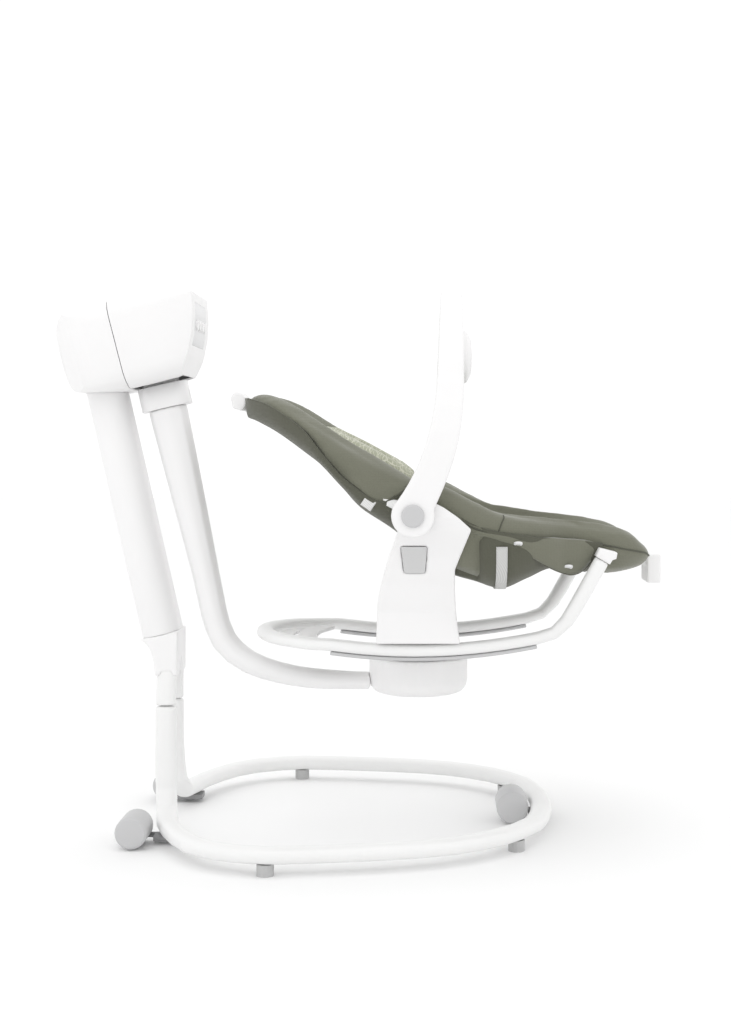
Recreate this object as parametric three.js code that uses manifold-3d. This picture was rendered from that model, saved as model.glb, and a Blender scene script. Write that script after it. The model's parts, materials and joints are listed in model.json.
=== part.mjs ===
// A baby swing: a floor loop and a leaning mast carry a motor pod, and an arm hung from the pod swings
// a turntable. A rocker with a reclining seat and a toy bar stands on the turntable and lifts off it.
// Millimetres, +X towards the child's feet, +Y towards the child's left, +Z up, floor at z = 0.
import * as THREE from "three";
import { mergeVertices } from "three/addons/utils/BufferGeometryUtils.js";
import Module from "manifold-3d";

const wasm = await Module();
wasm.setup();

// ---------- driving dimensions ----------
const GAP = 0.3; // between pieces that rest against each other
const LEAN = THREE.MathUtils.degToRad(13); // of the mast, the arm and the motor pod
const PIVOT = new THREE.Vector3(-300, 0, 685); // middle of the swing shaft
const MAST_BACK = 76.5; // mast axis behind the shaft's middle, along the shaft
const MAST_FOOT = -409; // mast's lower end, measured across the shaft
const BASE_Z = 25; // centre of the floor tube
const BASE_TUBE = [30, 20, 1.5]; // width, height, wall
const LEG_TUBE = [29, 18, 1.5];
const LEG_JOINT_Z = 169;
const HUB = { x: 82, radius: 70, bottom: 185, top: 236 };
const RAIL = { y: 113, z: 259, x: 78, radius: 812, width: 24, height: 16, wall: 1.5 };
const SEAT_AXIS = { x: 76.5, z: 445 }; // toy bar and backrest turn about this line
const SEAT_HALF = 168; // half the seat's width at its widest
const TOY_BAR = { inside: 190, outside: 203, top: 755, spring: 520 };
const HOOP_RADIUS = 8;

const WHITE = { color: 0xf2f2f0, roughness: 0.35 };
const WHITE_PLASTIC = { color: 0xf4f4f2, roughness: 0.45 };
const GREY_PLASTIC = { color: 0xb9bbbd, roughness: 0.5 };
const DARK_PLASTIC = { color: 0x55585a, roughness: 0.55 };
const RUBBER = { color: 0xa4a6a8, roughness: 0.8 };
const STEEL = { color: 0xb8b8ba, roughness: 0.3, metalness: 0.9 };
const COPPER = { color: 0xb06a3c, roughness: 0.4, metalness: 0.8 };
const BOARD = { color: 0x2f6b46, roughness: 0.6 };
const OLIVE = { color: 0x70735f, roughness: 0.95 };
const INSERT = { color: 0x8d9078, roughness: 0.95 };

const swing = new THREE.Group();
const head = new THREE.Group(); // x along the swing shaft, z along the mast
head.position.copy(PIVOT);
head.rotation.y = -LEAN;
swing.add(head);

// ---------- solids ----------
function toSolid(geometry) {
  const bare = geometry.clone();
  bare.deleteAttribute("normal");
  bare.deleteAttribute("uv");
  const merged = mergeVertices(bare, 1e-4);
  const vertProperties = merged.attributes.position.array;
  const triVerts = new Uint32Array(merged.index.array);
  return new wasm.Manifold(new wasm.Mesh({ numProp: 3, vertProperties, triVerts }));
}

function toGeometry(solid) {
  const mesh = solid.getMesh();
  const geometry = new THREE.BufferGeometry();
  geometry.setAttribute("position", new THREE.BufferAttribute(mesh.vertProperties, 3));
  geometry.setIndex(new THREE.BufferAttribute(mesh.triVerts, 1));
  return geometry;
}

const join = (...parts) => parts.reduce((whole, part) => whole.add(part));
const cut = (whole, ...tools) => tools.reduce((rest, tool) => rest.subtract(tool), whole);

function addPart(name, shape, look, parent = swing) {
  const geometry = shape.isBufferGeometry ? shape : toGeometry(shape);
  const mesh = new THREE.Mesh(geometry, new THREE.MeshStandardMaterial(look));
  mesh.name = name;
  parent.add(mesh);
}

// A box from its lowest and highest corners.
function block(low, high) {
  const size = high.map((top, i) => top - low[i]);
  return new THREE.BoxGeometry(...size).translate(...high.map((top, i) => (top + low[i]) / 2));
}

function blockSolid(low, high) {
  return toSolid(block(low, high));
}

// A cylinder between two points.
function rod(from, to, radius, sides = 16) {
  const start = new THREE.Vector3(...from);
  const along = new THREE.Vector3(...to).sub(start);
  const upright = new THREE.Vector3(0, 1, 0);
  const turn = new THREE.Quaternion().setFromUnitVectors(upright, along.clone().normalize());
  const centre = start.addScaledVector(along, 0.5);
  const cylinder = new THREE.CylinderGeometry(radius, radius, along.length(), sides);
  return cylinder.applyQuaternion(turn).translate(...centre);
}

function rodSolid(from, to, radius, sides) {
  return toSolid(rod(from, to, radius, sides));
}

// A solid turned about the y axis, from its profile: [radius, height].
function turned(profile, segments) {
  return new THREE.LatheGeometry(profile.map(([r, along]) => new THREE.Vector2(r, along)), segments);
}

function polygon(points) {
  return new THREE.Shape(points.map(([a, b]) => new THREE.Vector2(a, b)));
}

// A closed outline drawn smoothly through its points.
function smoothOutline(points) {
  const [first, ...rest] = [...points, points[0]].map(([a, b]) => new THREE.Vector2(a, b));
  return new THREE.Shape().moveTo(first.x, first.y).splineThru(rest);
}

function roundedRectangle(width, height, radius, Outline = THREE.Shape) {
  const [a, b] = [width / 2 - radius, height / 2 - radius];
  return new Outline()
    .absarc(a, b, radius, 0, Math.PI / 2)
    .absarc(-a, b, radius, Math.PI / 2, Math.PI)
    .absarc(-a, -b, radius, Math.PI, 1.5 * Math.PI)
    .absarc(a, -b, radius, 1.5 * Math.PI, 2 * Math.PI);
}

// A flat oval tube's section, open inside.
function ovalSection([width, height, wall]) {
  const section = roundedRectangle(width, height, height / 2);
  section.holes.push(roundedRectangle(width - 2 * wall, height - 2 * wall, height / 2 - wall, THREE.Path));
  return section;
}

// A round tube's section, open inside.
function roundSection(radius, wall) {
  const section = new THREE.Shape().absarc(0, 0, radius, 0, 2 * Math.PI);
  section.holes.push(new THREE.Path().absarc(0, 0, radius - wall, 0, 2 * Math.PI, true));
  return section;
}

// An outline seen from the side, (x, z), given its reach along y.
function fromSide(outline, yLow, yHigh, curveSegments = 4) {
  const options = { depth: yHigh - yLow, bevelEnabled: false, curveSegments };
  return toSolid(new THREE.ExtrudeGeometry(outline, options).rotateX(Math.PI / 2).translate(0, yHigh, 0));
}

// An outline seen from the front, (y, z), given its reach along x.
function fromFront(outline, xLow, xHigh, curveSegments = 4) {
  const options = { depth: xHigh - xLow, bevelEnabled: false, curveSegments };
  const shape = new THREE.ExtrudeGeometry(outline, options).rotateY(Math.PI / 2).rotateX(Math.PI / 2);
  return toSolid(shape.translate(xLow, 0, 0));
}

// An outline seen from above, (x, y), given its reach along z.
function fromAbove(outline, zLow, zHigh, curveSegments = 4) {
  const options = { depth: zHigh - zLow, bevelEnabled: false, curveSegments };
  return toSolid(new THREE.ExtrudeGeometry(outline, options).translate(0, 0, zLow));
}

const mirrored = (points) => [...points, ...points.slice().reverse().map(([a, ...rest]) => [-a, ...rest])];

// ---------- tubes along a path ----------
const UP = new THREE.Vector3(0, 0, 1);
const BACKWARD = new THREE.Vector3(-1, 0, 0);
const LEFTWARD = new THREE.Vector3(0, 1, 0);
const levelAcross = (tangent) => UP.clone().cross(tangent).normalize();
const legAcross = (tangent) => levelAcross(tangent).lerp(BACKWARD, tangent.z ** 2);
const leftAcross = () => LEFTWARD.clone();

// A path that keeps its section's first axis along across(tangent), and scales the section on the way.
class SectionPath extends THREE.CatmullRomCurve3 {
  constructor(points, across, widthAt = () => 1, heightAt = () => 1) {
    super(points.map((point) => new THREE.Vector3(...point)));
    this.arcLengthDivisions = 400;
    Object.assign(this, { across, widthAt, heightAt });
  }

  computeFrenetFrames(steps) {
    const frames = { tangents: [], normals: [], binormals: [] };
    for (let i = 0; i <= steps; i++) {
      const tangent = this.getTangentAt(i / steps);
      const hint = this.across(tangent);
      const side = hint.addScaledVector(tangent, -hint.dot(tangent)).normalize();
      const upright = tangent.clone().cross(side);
      frames.tangents.push(tangent);
      frames.normals.push(side.multiplyScalar(this.widthAt(i / steps)));
      frames.binormals.push(upright.multiplyScalar(this.heightAt(i / steps)));
    }
    return frames;
  }
}

function sweep(path, section, steps, curveSegments = 4) {
  return new THREE.ExtrudeGeometry(section, { extrudePath: path, steps, curveSegments });
}

// The value at u of a quantity given at even stations along a path.
function between(values) {
  return (u) => {
    const place = u * (values.length - 1);
    const low = Math.min(Math.floor(place), values.length - 2);
    return THREE.MathUtils.lerp(values[low], values[low + 1], place - low);
  };
}

const bothSides = (half) => [...half, ...half.slice(0, -1).reverse().map(([x, y, z]) => [x, -y, z])];
const sides = [["left", 1], ["right", -1]];

// ---------- stand ----------
function baseLoop() {
  const leg = [[-273, 32, LEG_JOINT_Z], [-273, 32.5, 123], [-272.5, 35, 82], [-270, 43, 50], [-266, 62, 30]];
  const floor = [[-260, 92], [-254, 120], [-245, 145], [-225, 187], [-198, 226], [-160, 251],
    [-108, 265], [-64, 262], [-2, 254], [56, 244], [124, 224], [182, 188], [212, 156],
    [236, 120], [251, 65], [256, 0]];
  const half = [...leg, ...floor.map(([x, y]) => [x, y, BASE_Z])];
  const path = new SectionPath(bothSides(half), legAcross);
  addPart("base_loop", sweep(path, ovalSection(BASE_TUBE), 48, 1), WHITE);
}

function legPath(side) {
  const low = LEG_JOINT_Z + 6 * GAP;
  const points = [[-273, 32, low], [-273, 30.5, 186], [-272, 27.5, 212], [-271.5, 26, 222]];
  return new SectionPath(points.map(([x, y, z]) => [x, y * side, z]), legAcross);
}

function upperLegs() {
  for (const [name, side] of sides) {
    addPart(`leg_${name}`, sweep(legPath(side), ovalSection(LEG_TUBE), 8, 1), WHITE);
  }
}

function mastOutline(grow, Outline = THREE.Shape) {
  return roundedRectangle(54 + grow, 74 + grow, 26 + grow / 2, Outline);
}

// The mast, the yoke that joins it to the two legs, and the lock button in the yoke's rear face.
function mast() {
  const section = mastOutline(0);
  section.holes.push(mastOutline(-6, THREE.Path));
  const tube = fromAbove(section, MAST_FOOT, -35);
  const lock = blockSolid([-26, -5, MAST_FOOT - 9], [-15, 5, MAST_FOOT - 1.5]);
  const lockHole = blockSolid([-40, -5 - GAP, MAST_FOOT - 9 - GAP], [-11.5, 5 + GAP, MAST_FOOT]);
  const onAxis = (solid) => toGeometry(solid).translate(-MAST_BACK, 0, 0);
  const placed = toSolid(onAxis(lockHole).rotateY(-LEAN).translate(...PIVOT));
  addPart("mast", onAxis(tube), WHITE_PLASTIC, head);
  addPart("mast_yoke", cut(yoke(), placed), WHITE_PLASTIC);
  addPart("mast_lock_button", onAxis(lock), DARK_PLASTIC, head);
}

function yoke() {
  const side = new THREE.Shape()
    .moveTo(-308.6, 262.8)
    .quadraticCurveTo(-296, 257, -291.5, 240)
    .quadraticCurveTo(-288.5, 228, -288, 212)
    .lineTo(-256.5, 212)
    .lineTo(-256.1, 274.9);
  const front = polygon(mirrored([[0, 236], [17, 212], [37, 212], [37, 250], [35, 290]]));
  const socket = roundedRectangle(LEG_TUBE[0] + 2 * GAP, LEG_TUBE[1] + 2 * GAP, LEG_TUBE[1] / 2);
  const legs = sides.map(([, sign]) => toSolid(sweep(legPath(sign), socket, 8, 2)));
  return cut(fromSide(side, -40, 40).intersect(fromFront(front, -320, -240)), ...legs);
}

function feet() {
  const height = BASE_Z - BASE_TUBE[1] / 2 - GAP;
  for (const [end, x, y] of [["rear", -107, 265], ["front", 213, 153]]) {
    for (const [name, side] of sides) {
      addPart(`foot_${end}_${name}`, rod([x, side * y, 0], [x, side * y, height], 11), RUBBER);
    }
  }
}

// A roller beside the floor tube, on an axle that stands out from one ear. The ear's plate lies towards
// `plate`, and the ear at the end `ear`, -1 for the right and 1 for the left.
function roller(name, x, yLow, yHigh, radius, plate, ear) {
  const thick = 3.5;
  const axleZ = radius + 2;
  const towards = Math.sign(plate - x);
  const earOutline = polygon([[plate, 5], [plate, 12], [x + 14 * towards, 12], [x + 8 * towards, axleZ + 4],
    [x + 4 * towards, axleZ + 8], [x - 4 * towards, axleZ + 8], [x - 8 * towards, axleZ + 4],
    [x - 8 * towards, 12], [x, 5]]);
  const earLow = ear < 0 ? yLow - thick - 1 : yHigh + 1;
  const [near, far] = [x + (radius + 2.5) * towards, plate].sort((a, b) => a - b);
  const [inner, outer] = [earLow, earLow + thick - ear * 24].sort((a, b) => a - b);
  const saddle = blockSolid([near, inner, 5], [far, outer, 12]);
  const blind = 4;
  const axleEnd = ear < 0 ? yHigh - blind - GAP : yLow + blind + GAP;
  const axle = rodSolid([x, earLow + thick / 2, axleZ], [x, axleEnd, axleZ], 4);
  const plateEar = fromSide(earOutline, earLow, earLow + thick);
  addPart(`roller_bracket_${name}`, join(saddle, axle, plateEar), DARK_PLASTIC);

  const [bore, length, rim] = [4 + GAP, yHigh - yLow, 3];
  const profile = [[bore, 0], [radius - rim, 0], [radius, rim], [radius, length - rim],
    [radius - rim, length], [0, length], [0, length - blind], [bore, length - blind], [bore, 0]];
  const wheel = turned(profile, 24);
  const turnedWheel = ear < 0 ? wheel : wheel.rotateX(Math.PI);
  addPart(`roller_${name}`, turnedWheel.translate(x, ear < 0 ? yLow : yHigh, axleZ), GREY_PLASTIC);
}

function rollers() {
  roller("left", -297, 108, 160, 21.5, -243, -1);
  roller("right", -297, -160, -108, 21.5, -243, 1);
  roller("front", 215, -28, 28, 22.5, 262, 1);
}

// ---------- motor pod ----------
const POD = { half: 75, wall: 3, seam: 1, seamTop: -38, seamBottom: -34 };
const SWING_SLOT = { x: [-36, 41], half: 46 }; // the hanger moves in this slot
const WINDOW = { half: 50, z: [-24, 34] };
const PANEL_NORMAL = new THREE.Vector3(0.95, 0, -0.3125);
const RELEASE = { x: [-94, -62], half: 12 };

// The pod's form, taken in by `inset` on every side.
function podForm(inset) {
  const side = new THREE.Shape()
    .moveTo(-46, -65 + inset)
    .lineTo(-106, -53 + inset)
    .quadraticCurveTo(-113 + inset, -50 + inset, -117 + inset, -34)
    .bezierCurveTo(-123.5 + inset, -10, -123.5 + inset, 18, -120 + inset, 32)
    .bezierCurveTo(-116 + inset, 45, -104, 59 - inset, -86, 60.5 - inset)
    .lineTo(-48, 60.5 - inset)
    .lineTo(-11, 61 - inset)
    .lineTo(82 - inset, 47 - inset)
    .quadraticCurveTo(76 - inset, -15, 41 - inset, -62 + inset)
    .lineTo(34, -63 + inset);
  const [half, height] = [POD.half - inset, 128 - 2 * inset];
  const front = roundedRectangle(2 * half, height, 28 - inset);
  const [rearRound, frontRound] = [50 - inset, 20 - inset];
  const above = new THREE.Shape()
    .absarc(90 - inset - frontRound, half - frontRound, frontRound, 0, Math.PI / 2)
    .absarc(-124 + inset + rearRound, half - rearRound, rearRound, Math.PI / 2, Math.PI)
    .absarc(-124 + inset + rearRound, rearRound - half, rearRound, Math.PI, 1.5 * Math.PI)
    .absarc(90 - inset - frontRound, frontRound - half, frontRound, 1.5 * Math.PI, 2 * Math.PI);
  const plan = fromAbove(above, -80, 80);
  return fromSide(side, -POD.half, POD.half).intersect(fromFront(front, -140, 100)).intersect(plan);
}

function windowBlock(grow) {
  const [low, high] = WINDOW.z;
  return blockSolid([52, -WINDOW.half - grow, low - grow], [100, WINDOW.half + grow, high + grow]);
}

const BUTTONS = [["power", -33], ["speed", -11], ["timer", 11], ["sound", 33]];
const buttonCentre = (y) => new THREE.Vector3(72, y, 4);

function buttonRod(y, back, front, radius) {
  const centre = buttonCentre(y);
  const from = centre.clone().addScaledVector(PANEL_NORMAL, -back);
  const to = centre.clone().addScaledVector(PANEL_NORMAL, front);
  return rod(from.toArray(), to.toArray(), radius);
}

function podShells() {
  const shell = podForm(0).subtract(podForm(POD.wall));
  const seam = (offset) => polygon([[POD.seamBottom + offset, -80], [POD.seamTop + offset, 80], [-200, 80],
    [-200, -80]]);
  const behind = fromSide(seam(-POD.seam / 2), -90, 90);
  const uptoSeam = fromSide(seam(POD.seam / 2), -90, 90);
  const mastHole = toSolid(toGeometry(fromAbove(mastOutline(4 * GAP), -80, 0)).translate(-MAST_BACK, 0, 0));
  const [x0, x1] = RELEASE.x;
  const releaseHole = blockSolid([x0 - GAP, -RELEASE.half - GAP, 30], [x1 + GAP, RELEASE.half + GAP, 80]);
  const inletHole = rodSolid([-135, 0, -15], [-106, 0, -15], 6 + GAP);
  const slot = blockSolid([SWING_SLOT.x[0], -SWING_SLOT.half, -80], [SWING_SLOT.x[1], SWING_SLOT.half, -45]);
  const face = windowBlock(-GAP);
  const holes = BUTTONS.map(([, y]) => toSolid(buttonRod(y, 14, 14, 7 + GAP)));
  const rear = cut(shell.intersect(behind), mastHole, releaseHole, inletHole);
  const front = cut(shell, uptoSeam, slot, windowBlock(0), mastHole);
  addPart("pod_rear_shell", rear, WHITE_PLASTIC, head);
  addPart("pod_front_shell", front, WHITE_PLASTIC, head);
  addPart("control_panel", cut(shell.intersect(face), ...holes), GREY_PLASTIC, head);
}

function podButtons() {
  for (const [name, y] of BUTTONS) {
    addPart(`${name}_button`, buttonRod(y, 6, 4, 7), WHITE_PLASTIC, head);
  }
  const [x0, x1] = RELEASE.x;
  const strip = new THREE.Shape()
    .moveTo(x0, 46)
    .lineTo(x1, 46)
    .lineTo(x1, 61)
    .quadraticCurveTo(-78, 66, x0, 60);
  addPart("release_button", fromSide(strip, -RELEASE.half, RELEASE.half), DARK_PLASTIC, head);
}

// ---------- swing drive ----------
const BEARING = { rear: -50, front: 40, length: 10, radius: 13, shaft: 7 };

function drive() {
  const bore = (x) => rodSolid([x - 10, 0, 0], [x + 10, 0, 0], BEARING.radius + GAP);
  const foot = blockSolid([-102, -34, -35 + GAP], [-43, 34, -28]);
  const rearWall = blockSolid([-57, -34, -30], [-43, 34, 26]);
  const frontWall = blockSolid([33, -30, -20], [47, 30, 26]);
  const bridge = blockSolid([-57, -30, 20], [47, 30, 26]);
  const chassis = cut(join(foot, rearWall, frontWall, bridge), bore(BEARING.rear), bore(BEARING.front));
  addPart("drive_chassis", chassis, STEEL, head);

  for (const end of ["rear", "front"]) {
    const middle = BEARING[end];
    const [low, high] = [middle - BEARING.length / 2, middle + BEARING.length / 2];
    const race = rodSolid([low, 0, 0], [high, 0, 0], BEARING.radius);
    const hole = rodSolid([low - 1, 0, 0], [high + 1, 0, 0], BEARING.shaft + GAP);
    addPart(`bearing_${end}`, cut(race, hole), STEEL, head);
  }
  addPart("drive_coil", coil(), COPPER, head);
  addPart("circuit_board", block([-54, -32, 29], [44, 32, 31]), BOARD, head);
  const socket = rodSolid([-122, 0, -15], [-108, 0, -15], 6);
  const socketHole = rodSolid([-130, 0, -15], [-112, 0, -15], 2.8);
  addPart("dc_inlet", cut(socket, socketHole), DARK_PLASTIC, head);
}

function coil() {
  const outside = fromFront(roundedRectangle(32, 17, 6), -43 + GAP, -37);
  const inside = fromFront(roundedRectangle(18, 5, 2), -45, -35);
  return toGeometry(outside.subtract(inside)).translate(0, 0, -21);
}

function hanger() {
  const shaftEnds = [BEARING.rear - 8, BEARING.front + 8];
  addPart("pivot_shaft", rod([shaftEnds[0], 0, 0], [shaftEnds[1], 0, 0], BEARING.shaft), STEEL, head);
  const collar = fromAbove(roundedRectangle(70, 54, 20), -99, -66);
  const neck = blockSolid([-24, -17, -70], [22, 17, -6]);
  const sleeve = rodSolid([-24, 0, 0], [22, 0, 0], 15);
  const bore = rodSolid([-30, 0, 0], [30, 0, 0], BEARING.shaft + GAP);
  const relief = blockSolid([31, -3, -92], [40, 3, -78]);
  const shape = cut(join(collar, neck, sleeve), bore, relief);
  addPart("swing_hanger", toGeometry(shape).translate(2, 0, 0), WHITE_PLASTIC, head);
  addPart("drive_magnet", block([-34, -9, -28], [-22 - GAP, 9, -16]), DARK_PLASTIC, head);
}

// ---------- swing arm and hub ----------
function swingArm() {
  const line = [[-275.8, 588.5], [-253, 490], [-228, 382], [-214, 318], [-207, 286], [-193, 254],
    [-170, 233], [-142, 219], [-87, 205.6], [-16, 200.6], [40, 200.6]];
  const points = line.map(([x, z]) => [x, 0, z]);
  const depths = between([54, 51, 48, 44, 40, 37, 36, 35, 31, 28, 27, 24, 23]);
  const widths = between([48, 46, 45, 45, 45, 45, 44]);
  const path = new SectionPath(points, leftAcross, widths, depths);
  const arm = toSolid(sweep(path, roundedRectangle(1, 1, 0.4), 26, 1));
  const hubClearance = rodSolid([HUB.x, 0, 150], [HUB.x, 0, 260], HUB.radius + GAP, 32);
  addPart("swing_arm", arm.subtract(hubClearance), WHITE);
}

function hub() {
  const { radius, bottom, top } = HUB;
  const recess = 8;
  const bowl = [[0, bottom], [54, bottom], [63, bottom + 3], [68, bottom + 9], [radius, bottom + 18],
    [radius, top], [60, top], [60, top - recess], [0, top - recess]];
  addPart("hub_bowl", turned(bowl, 32).rotateX(Math.PI / 2).translate(HUB.x, 0, 0), WHITE_PLASTIC);
  const disc = rod([HUB.x, 0, top - recess + GAP], [HUB.x, 0, top + recess], 58, 32);
  addPart("turntable_disc", disc, GREY_PLASTIC);
}

// ---------- rocker ----------
const railZ = (x) => RAIL.z + (x - RAIL.x) ** 2 / (2 * RAIL.radius);
const RAIL_STATIONS = [-36, 0, 36, 78, 120, 156, 190, 222, 249];
const DOCK = { x: [32, 132], half: RAIL.y - RAIL.width / 2 - GAP };

function rockerLoop() {
  const rear = [[-136, 0, 272], [-131, 36, 271.5], [-115, 70, 270.5], [-88, 95, 269.2], [-61, 109, 267.6]];
  const rails = RAIL_STATIONS.map((x) => [x, RAIL.y, railZ(x)]);
  const front = [[268, 116, 284], [282, 118, 298], [298, 119, 324], [317, 119, 358], [330, 119, 381]];
  const half = [...rear, ...rails, ...front].reverse();
  const heights = (u) => 1 + 0.2 * THREE.MathUtils.smoothstep(Math.abs(u - 0.5), 0.39, 0.44);
  const path = new SectionPath(bothSides(half), levelAcross, () => 1, heights);
  addPart("rocker_loop", sweep(path, ovalSection([RAIL.width, RAIL.height, RAIL.wall]), 50, 1), WHITE);
}

function gripStrips() {
  const drop = RAIL.height / 2 + 2.5 + 2 * GAP;
  for (const [name, side] of sides) {
    const points = [...RAIL_STATIONS.slice(0, -1), 243].map((x) => [x, side * RAIL.y, railZ(x) - drop]);
    const path = new SectionPath(points, leftAcross);
    addPart(`grip_strip_${name}`, sweep(path, roundedRectangle(16, 5, 2), 12, 1), GREY_PLASTIC);
  }
}

function rearPlate() {
  const half = [[-120, 0], [-116, 30], [-101, 60], [-77, 83], [-50, 95]];
  const edge = [[-44, 84], [-58, 44], [-62, 0]];
  const left = [...half, ...edge];
  const right = left.slice(1, -1).reverse().map(([x, y]) => [x, -y]);
  const slot = fromAbove(roundedRectangle(6, 60, 3), 200, 300);
  const plate = fromAbove(smoothOutline([...left, ...right]), 262, 267, 2);
  addPart("rear_plate", plate.subtract(toSolid(toGeometry(slot).translate(-92, 0, 0))), WHITE_PLASTIC);
}

function dockPlate() {
  const [low, high] = DOCK.x;
  const outline = roundedRectangle(high - low, 2 * DOCK.half, 12);
  const plate = toSolid(toGeometry(fromAbove(outline, 252, 263)).translate((low + high) / 2, 0, 0));
  const boss = rodSolid([HUB.x, 0, HUB.top + 8 + GAP], [HUB.x, 0, 256], 49, 32);
  addPart("dock_plate", join(plate, boss), WHITE_PLASTIC);
}

// Each pillar leans outwards from the rail to the seat's axis.
const PILLAR_INSIDE = [[102, 270], [107, 312], [120, 350], [142, 390], [166, 425], [173, 442], [174, 500]];
const PILLAR_THICK = 15;
const LATCH = { x: [60, 95], z: [366, 403], proud: 2, deep: 6, travel: 2 };

function pillarBand(inner, outer) {
  const inside = PILLAR_INSIDE.map(([y, z]) => [y + inner, z]);
  const outside = PILLAR_INSIDE.map(([y, z]) => [y + outer, z]).reverse();
  outside[outside.length - 1] = [131, 270];
  return polygon([...inside, ...outside]);
}

function pillar() {
  const { x, z } = SEAT_AXIS;
  const side = new THREE.Shape()
    .moveTo(26, 270)
    .lineTo(28, 325)
    .quadraticCurveTo(33, 355, 43, 385)
    .lineTo(56, 423)
    .absarc(x, z, 26, Math.PI, Math.PI / 2, true)
    .quadraticCurveTo(118, 462, 153, 426)
    .lineTo(132, 371)
    .quadraticCurveTo(131, 320, 139, 270);
  const body = fromFront(pillarBand(0, PILLAR_THICK), 0, 160).intersect(fromSide(side, 90, 200));
  const pin = rodSolid([x, 150, z], [x, 220, z], 6 + GAP);
  return cut(body, pin, latchForm(GAP, LATCH.deep + LATCH.travel + GAP, 30));
}

// The latch's tapered plate, `grow` larger all round, from `deep` behind the pillar's face to `proud` of it.
function latchForm(grow, deep, proud) {
  const [rear, front] = LATCH.x;
  const [low, high] = LATCH.z;
  const outline = polygon([[rear + 4 - grow, low - grow], [front - 3 + grow, low - grow],
    [front + grow, high + grow], [rear - grow, high + grow]]);
  const band = fromFront(pillarBand(PILLAR_THICK - deep, PILLAR_THICK + proud), 0, 160);
  return band.intersect(fromSide(outline, 90, 240));
}

function pillars() {
  const { x, z } = SEAT_AXIS;
  const shape = toGeometry(pillar());
  const latch = toGeometry(latchForm(0, LATCH.deep, LATCH.proud));
  for (const [name, side] of sides) {
    const place = (geometry) => (side > 0 ? geometry : mirrorY(geometry));
    addPart(`pillar_${name}`, place(shape), WHITE_PLASTIC);
    addPart(`pillar_latch_${name}`, place(latch), GREY_PLASTIC);
    const under = TOY_BAR.outside + 2 * GAP;
    const face = under + 5;
    const pin = [[0, 158], [6, 158], [6, under], [15, under], [15, face - 1.5], [13, face], [0, face]];
    addPart(`pivot_cap_${name}`, place(turned(pin, 20).translate(x, 0, z)), GREY_PLASTIC);
  }
}

// The same solid on the right-hand side.
function mirrorY(geometry) {
  const flipped = geometry.clone().scale(1, -1, 1);
  const index = flipped.index.array;
  for (let i = 0; i < index.length; i += 3) {
    [index[i + 1], index[i + 2]] = [index[i + 2], index[i + 1]];
  }
  return flipped;
}

// ---------- seat ----------
const LEG_HOOP = [[110, 168.5, 448], [112, 161, 447.5], [124, 155, 446], [152, 147, 440], [226, 122, 422],
  [300, 97, 404], [337, 90, 396], [372, 70, 387], [388, 36, 383], [392, 0, 382]];
const BACK_HOOP = [[70, 162, 452], [46, 159, 461], [18, 156, 480], [-14, 150, 511], [-60, 138, 545],
  [-104, 113, 572], [-136, 74, 591], [-147, 34, 597], [-150, 0, 598.5]];

function hoop(points, radius, wall, steps) {
  return sweep(new SectionPath(bothSides(points), levelAcross), roundSection(radius, wall), steps, 4);
}

function hoopRoom(points, steps) {
  const room = new THREE.Shape().absarc(0, 0, HOOP_RADIUS + 0.5, 0, 2 * Math.PI);
  return toSolid(sweep(new SectionPath(bothSides(points), levelAcross), room, steps, 4));
}

// Both covers stay inside the pillars, so they narrow towards the floor.
function betweenPillars(reach) {
  const right = PILLAR_INSIDE.filter(([, z]) => z > 300).map(([y, z]) => [Math.min(y - 4, reach), z]);
  return fromFront(polygon(mirrored([[96, 300], ...right, [reach, 660]])), -200, 450);
}

// An outline from above, given its left half.
function planOutline(half) {
  return polygon([...half, ...half.slice().reverse().map(([x, y]) => [x, -y])]);
}

function knuckleRoom() {
  return sides.map(([, side]) => {
    const [low, high] = [150, 200].map((y) => y * side).sort((a, b) => a - b);
    return blockSolid([42, low, 400], [96, high, 520]);
  });
}

function backCover() {
  const outline = polygon([[-162, 597], [-152, 606], [-138, 609], [-104, 598], [-60, 570], [-12, 539],
    [38, 513], [50, 503], [70, 455], [58, 418], [51, 416], [17, 441], [0, 455], [-20, 479], [-44, 508],
    [-70, 523], [-106, 549], [-144, 570], [-160, 586]]);
  const hollow = polygon([[-136, 590], [-98, 565], [-60, 540], [-35, 522], [-8, 492], [12, 467], [28, 452],
    [56, 434], [90, 434], [90, 700], [-136, 700]]);
  const plan = planOutline([[90, SEAT_HALF], [20, SEAT_HALF], [-30, 162], [-75, 146], [-115, 118], [-145, 82],
    [-160, 42]]);
  const bed = planOutline([[100, 128], [20, 128], [-30, 122], [-75, 106], [-112, 78], [-130, 40]]);
  const slab = fromSide(outline, -200, 200).intersect(fromAbove(plan, 400, 640));
  const room = fromSide(hollow, -200, 200).intersect(fromAbove(bed, 400, 720));
  const whole = slab.intersect(betweenPillars(SEAT_HALF));
  addPart("back_cover", cut(whole, room, hoopRoom(BACK_HOOP, 24), ...knuckleRoom(), handleRoom()), OLIVE);
}

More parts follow.
